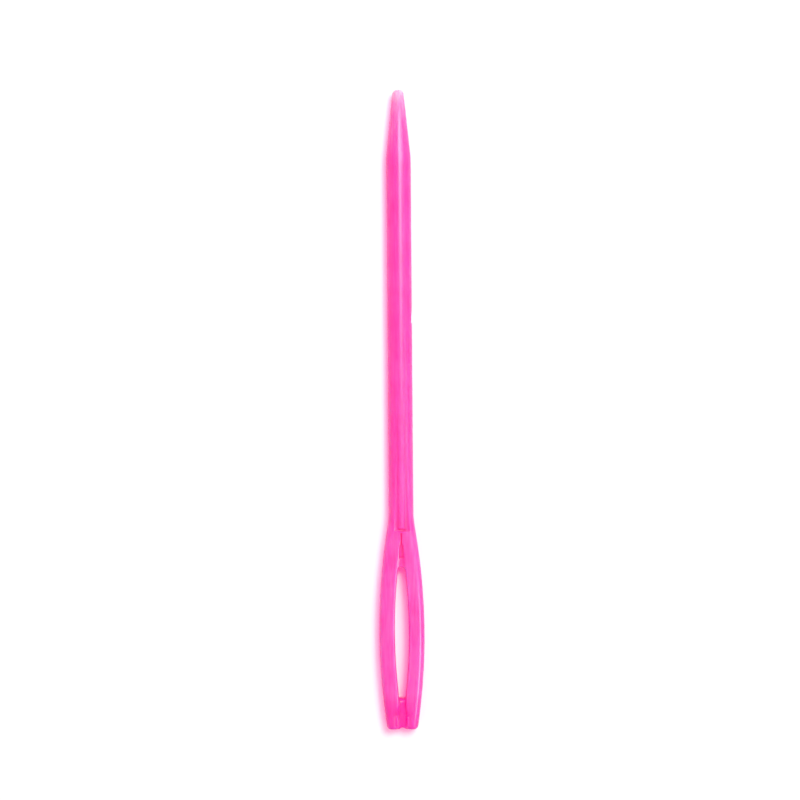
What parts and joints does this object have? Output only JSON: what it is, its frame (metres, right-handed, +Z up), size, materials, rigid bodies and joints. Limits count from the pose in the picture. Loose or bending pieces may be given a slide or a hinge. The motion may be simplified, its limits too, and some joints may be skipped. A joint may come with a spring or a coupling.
{
  "type": "yarn needle",
  "caption": "Blunt moulded plastic yarn needle: a round shaft with a tapered point and a long bowed eye between two limbs.",
  "frame": {"origin": "middle of the needle's length and width, on the surface that it lies on", "axes": "+Y along the shaft towards the point, +X across the eye, +Z up out of the eye's face"},
  "size_m": [0.0064, 0.09, 0.0036],
  "materials": {
    "pink_plastic": "smooth moulded polypropylene in bright pink, slightly translucent, with a soft gloss"
  },
  "bodies": {
    "root": {"needle": "pink_plastic"}
  },
  "joints": []
}
